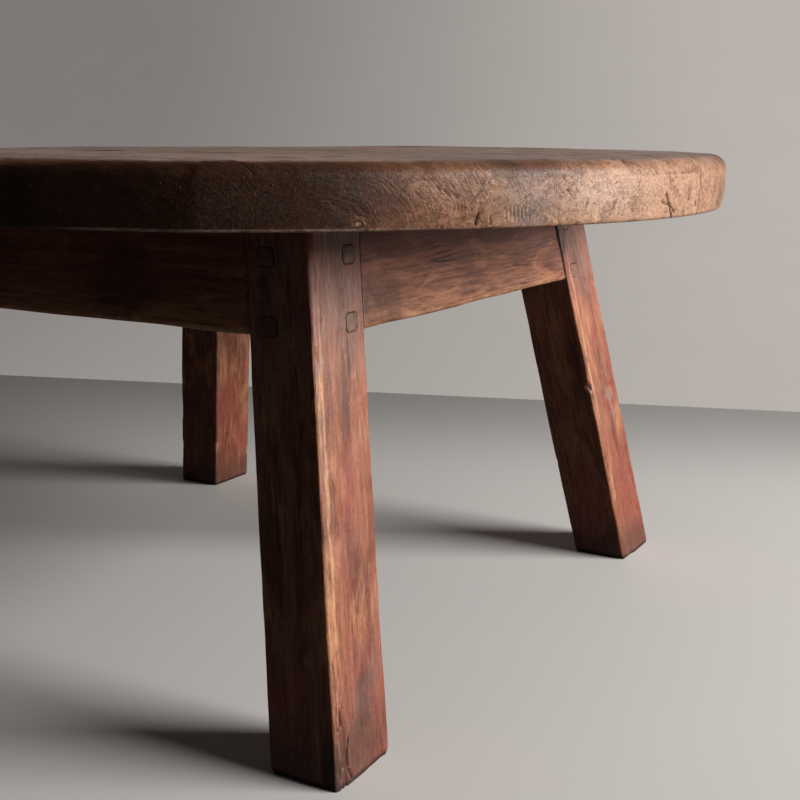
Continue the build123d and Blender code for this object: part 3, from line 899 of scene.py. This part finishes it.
def apron(side):
    """A deep rail that leans with its side. Stations run along it, each a loop round its section."""
    name = SIDES[side]
    seed = 500 + 10 * side
    faces_y = side % 2 == 0

    def face(z):
        return outer_y(z) if faces_y else outer_x(z)

    def half_length(z):
        return outer_x(z) - LEG_X if faces_y else outer_y(z) - LEG_Y

    step = 0.0022
    levels = spread(APRON_BOTTOM + 0.004, BASE, step)
    turn = np.linspace(0, math.pi / 2, 7)[1:-1]
    r_out, r_in = 0.0042, 0.002
    inside = np.linspace(0.004, APRON_THICKNESS - 0.003, 9)
    depth = np.r_[
        0 * levels, r_out * (1 - np.cos(turn)), inside + 0.001,
        APRON_THICKNESS - r_in * (1 - np.sin(turn)), APRON_THICKNESS + 0 * levels[::4],
    ]
    height = np.r_[
        levels[::-1], APRON_BOTTOM + r_out * (1 - np.sin(turn)), APRON_BOTTOM + 0 * inside,
        APRON_BOTTOM + r_in * (1 - np.cos(turn)), levels[::4],
    ]
    stations = np.linspace(-1, 1, round(2 * half_length(0.32) / step))
    reach = np.r_[1, 0, 0 * stations, 0, 1][:, None] * TENON_REACH
    thin = np.r_[[TENON_SHARE] * 2, 0 * stations + 1, [TENON_SHARE] * 2][:, None]
    t = np.r_[-1, -1, stations, 1, 1][:, None] + 0 * height
    mid_height = (APRON_BOTTOM + UNDERSIDE) / 2
    z = mid_height + (height - mid_height) * (0.3 * thin + 0.7)
    depth = APRON_THICKNESS / 2 + (depth - APRON_THICKNESS / 2) * thin
    opening = np.interp(z, (APRON_BOTTOM, UNDERSIDE), OPEN_SHOULDER)
    opening += 0.0006 * noise(stack(t, t, z), (9, 9, 0.01), seed + 7)
    gap = np.where((t > 0) & (name == "right"), opening, SHOULDER_GAP)
    along = t * (half_length(z) - gap) + np.sign(t) * reach
    if name == "right":
        near_end = np.clip((half_length(z) - along) / END_ROUND, 0, 1)
        z = z + 0.0035 * (1 - near_end) ** 2 * smooth(APRON_BOTTOM + 0.012 - z, 0, 0.012)
    local = stack(along, depth, z)
    push = 0.5 * noise(local, (0.12, 0.05, 0.04), seed) + 0.12 * rough_noise(local, (0.03, 0.004, 0.004), seed + 1)
    push *= smooth(UNDERSIDE - z, 0, 0.008)
    outer = smooth(0.006 - depth, 0, 0.004)
    lower = smooth(APRON_BOTTOM + 0.008 - z, 0, 0.006) * smooth(0.02 - depth, 0, 0.01)
    lift = 0.7 * MM * (0.6 + noise(local, (0.05, 9, 9), seed + 2)) * smooth(APRON_BOTTOM + 0.012 - z, 0, 0.012)
    out = -(face(z) - APRON_SETBACK - depth) - push * MM * (outer - smooth(depth, 0.02, 0.028))
    z = z + np.maximum(lift, 0)
    c, s = (1, 0, -1, 0)[side], (0, 1, 0, -1)[side]
    points = stack(along * c - out * s, along * s + out * c, z)
    chips = smooth(noise(local, (0.02, 0.02, 0.01), seed + 3), 0.5, 0.85) * lower
    wear = 0.6 * lower + 0.5 * chips
    # Darker towards the top under the slab and at both ends, and dark on the tenons.
    dirt = 0.3 * smooth(z, 0.335, 0.36) + 0.2 * smooth(np.abs(t), 0.93, 1) + (thin < 1)
    # A painted shadow line at the right apron's open shoulder, where the gap lies in shade.
    if name == "right":
        dirt += smooth(along - half_length(z) + gap, -0.0016, -0.0004)
    patina = 0.15 + 0.35 * smooth(noise(local, (0.06, 0.03, 0.02), seed + 6), 0.2, 0.8)
    reds = 0.5 * smooth(noise(local, (0.12, 0.03, 0.03), seed + 4), 0, 0.7) + 0.35 * smooth(z, 0.31, 0.35)
    golds = 0.8 * smooth(APRON_BOTTOM + 0.032 - z, 0, 0.028)
    darks = 0.7 * smooth(noise(local, (0.07, 0.05, 0.03), seed + 5), 0.2, 0.8) + 0.25 * smooth(z, 0.32, 0.35)
    channels = look((along + 1.9 * (side + 3), z - 0.25, depth + 0.03), (wear, dirt, patina), (reds, golds, darks))
    return tube(f"rail_{name}", points, channels, turned=True)


for side, name in enumerate(SIDES):
    wooden(apron(side), f"apron_{name}", apron_wood)

# ---- pegs

PEG_PROUD = 0.0004
PEG_SLACK = 0.00025
# The rings of a peg's end: the share of its width, and how far each lies below its crown.
PEG_RINGS = np.array([0.02, 0.2, 0.4, 0.6, 0.78, 0.9, 0.96, 1, 1, 1])[:, None]
PEG_DROPS = np.array([0, 0, 0.02, 0.05, 0.1, 0.22, 0.4, 0.8, 2, 6])[:, None] * MM


def peg_head(seed):
    """Rings of one peg's end, from its middle outwards and then down its sides, in its face's
    plane: along, up and out."""
    directions = np.linspace(0, 2 * math.pi, 72, endpoint=False)
    ray_x, ray_z = np.cos(directions), np.sin(directions)
    far = np.linspace(0, 0.012, 400)
    inside = peg_outline(ray_x[:, None] * far, ray_z[:, None] * far) < -PEG_SLACK
    edge = far[inside.sum(axis=1) - 1]
    edge = edge * (1 + 0.025 * noise(stack(ray_x, ray_z, seed), 0.35, seed)) - 0.0001
    u, v = (PEG_RINGS * edge * ray for ray in (ray_x, ray_z))
    rough = 0.12 * MM * rough_noise(stack(u, v, seed), 0.003, seed) * (PEG_DROPS < 0.5 * MM)
    return u, v, PEG_PROUD - PEG_DROPS + rough


def pegs(corner):
    """Four peg ends in one piece, two on each outer face of the leg."""
    sign_x, sign_y = CORNERS[corner]
    dirt = 0.9 * smooth(np.arange(len(PEG_RINGS))[:, None], 5, 8)
    gold = 0.4 if corner == "back_right" else 0.1
    pieces = []
    for index, (face, level) in enumerate(itertools.product("ab", PEG_LEVELS)):
        seed = 700 + 10 * list(CORNERS).index(corner) + index
        u, v, out = peg_head(seed)
        z = level + v
        a = outer_x(z) if face == "a" else outer_x(level) - LEG_X + PEG_FROM_SHOULDER - SPLAY_X * v + u
        b = outer_y(z) if face == "b" else outer_y(level) - LEG_Y + PEG_FROM_SHOULDER - SPLAY_Y * v + u
        a, b = (a + out, b) if face == "a" else (a, b + out)
        # Painted shade: pegs on the b faces, front and back of the leg, are darker and less grey.
        dark = 0.42 * (face == "b")
        grain = (out + seed * 0.01, u + 0.01, v + 0.012)
        channels = look(grain, (0, dirt, 0.8 - 0.7 * gold - dark + 0 * u), (0, gold, dark + 0 * u))
        turned = (sign_x * sign_y > 0) != (face == "a")
        pieces.append(tube(f"peg_{corner}_{index}", stack(sign_x * a, sign_y * b, z), channels, turned))
    with bpy.context.temp_override(active_object=pieces[0], selected_editable_objects=pieces):
        bpy.ops.object.join()
    pieces[0].name = f"peg_ends_{corner}"
    return pieces[0]


for corner in CORNERS:
    wooden(pegs(corner), f"pegs_{corner}", peg_wood)

# ---- solids that stay as made


def raw_wood(name):
    """Plain planed wood for the pieces let into the slab, in the object's own coordinates."""
    s = Shader(name)
    place = s.node("TexCoord", {}, "Object")
    fibre = s.noise(place, (300, 14, 300), 5, 0.7, 0.3)
    broad = s.noise(place, 18, 3)
    tone = fibre * 0.7 + broad * 0.3
    color = s.mix(s.step(tone, 0.3, 0.7), (0.16, 0.085, 0.05), (0.36, 0.23, 0.14))
    return s.finish(color, 0.5 + broad * 0.3, fibre, 0.3 * MM)


hidden_wood = raw_wood("hidden_wood")
for node in ("edge_tongues", "top_batten_left", "top_batten_right"):
    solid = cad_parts[node]
    solid.data.materials.clear()
    solid.data.materials.append(hidden_wood)

# ---- stage and lights

BACK_NORMAL = Vector((-0.332, 0.943, 0)).normalized()
BACK_DISTANCE = 0.877
SIDEWAYS = BACK_NORMAL.cross(Vector((0, 0, 1)))
LAMP_SIDE = (0.35, 2.3)
LAMP_PLACE, LAMP_AIM = Vector((2.8, 0.7, 1.3)), Vector((0, 0, 0.2))


def plain(name, color, near, far, left, backdrop=0, bounce=1, lamp_side=0):
    """A pale matt stage surface, darker by far over the distances near, by the third value of left
    between its first two, and by lamp_side towards the lamp. Backdrop is the level that the camera
    sees, and bounce the color's share in the light that it sends on."""
    s = Shader(name)
    place = s.node("TexCoord", {}, "Object")
    cloud = s.noise(place, 1.6, 5, 0.6)
    across, away = (
        s.node("VectorMath", {0: place, 1: axis}, 1, operation="DOT_PRODUCT")
        for axis in (SIDEWAYS, BACK_NORMAL)
    )
    # Painted shade: darker towards the backdrop, to one side and towards the lamp.
    painted_shade = 1 - s.step(away, *near) * far
    painted_shade = painted_shade * (1 - s.step(across, *left[:2]) * left[2])
    painted_shade = painted_shade * (1 - s.step(across, *LAMP_SIDE) * lamp_side)
    tint = s.mix(cloud, tuple(0.95 * c for c in color), tuple(min(1, 1.05 * c) for c in color))
    tint = s.mix(1, tint, painted_shade, "MULTIPLY")
    seen = s.node("LightPath", {}, "Is Camera Ray")
    if backdrop:
        seen = s.math("MAXIMUM", seen, s.node("LightPath", {}, "Is Glossy Ray"))
    lit = s.mix(seen, tuple(bounce * c for c in color), tint)
    surface = s.node("BsdfPrincipled", {"Base Color": lit, "Roughness": 0.75, "Specular IOR Level": 0.3})
    if backdrop:
        glow = s.node("Emission", {"Color": tint, "Strength": backdrop})
        surface = s.node("MixShader", {0: seen, 1: surface, 2: glow})
    return s.close(surface)


def sweep(name, profile, half_width, material):
    """A stage surface: a profile of (distance, height) points, drawn out sideways."""
    points = [
        BACK_NORMAL * distance + SIDEWAYS * reach + Vector((0, 0, height))
        for distance, height in profile
        for reach in (-half_width, half_width)
    ]
    quads = [(2 * k, 2 * k + 1, 2 * k + 3, 2 * k + 2) for k in range(len(profile) - 1)]
    mesh = bpy.data.meshes.new(name)
    mesh.from_pydata(points, [], quads)
    mesh.materials.append(material)
    in_scene(name, mesh)


floor_look = plain("floor", (0.8, 0.785, 0.77), (0.35, 0.9), 0.42, (0.4, -1.4, 0.26), bounce=0.14, lamp_side=0.6)
sweep("floor", [(-3.2, 0), (BACK_DISTANCE, 0)], 3, floor_look)
cove = [(BACK_DISTANCE, 0), (2.4, 0.12)]
cove += [(2.4 + 1.2 * math.sin(a), 0.12 + 1.2 * (1 - math.cos(a))) for a in np.linspace(0.08, math.pi / 2, 12)]
cove += [(3.62, 5)]
wall_look = plain("backdrop", (0.7, 0.645, 0.605), (9, 10), 0, (1.2, -1.6, 0.6), backdrop=0.75, lamp_side=0.2)
sweep("backdrop", cove, 9, wall_look)

scene = bpy.context.scene
scene.world = bpy.data.worlds.new("studio")
scene.world.use_nodes = True
tree = scene.world.node_tree
background = tree.nodes["Background"]
background.inputs["Color"].default_value = (0.95, 0.97, 1, 1)
seen = tree.nodes.new("ShaderNodeLightPath").outputs["Is Camera Ray"]
level = tree.nodes.new("ShaderNodeMapRange")
level.inputs["To Min"].default_value, level.inputs["To Max"].default_value = 0.02, 0.16
tree.links.new(seen, level.inputs["Value"])
tree.links.new(level.outputs[0], background.inputs["Strength"])

lamp = bpy.data.lights.new("window", "AREA")
lamp.shape = "RECTANGLE"
lamp.size, lamp.size_y = 1.6, 1.3
lamp.energy, lamp.color = 122, (1, 0.97, 0.93)
window = in_scene("window", lamp)
window.location = LAMP_PLACE
window.visible_camera = False
window.rotation_mode = "QUATERNION"
window.rotation_quaternion = (LAMP_AIM - LAMP_PLACE).to_track_quat("-Z", "Y")

# ---- camera

CAMERA_PLACE = (0.68077, -0.9109, 0.41507)
CAMERA_YAW, CAMERA_PITCH, CAMERA_ROLL = (math.radians(v) for v in (29.926, 12.046, 0.482))
CAMERA_LENS = 56.45

camera_data = bpy.data.cameras.new("camera")
camera_data.lens = CAMERA_LENS
camera_data.sensor_width = 36
camera = in_scene("camera", camera_data)
turn = Matrix.Rotation(CAMERA_YAW, 4, "Z") @ Matrix.Rotation(math.pi / 2 - CAMERA_PITCH, 4, "X")
camera.matrix_world = Matrix.Translation(CAMERA_PLACE) @ turn @ Matrix.Rotation(CAMERA_ROLL, 4, "Z")
scene.camera = camera
scene.view_settings.view_transform = "Standard"
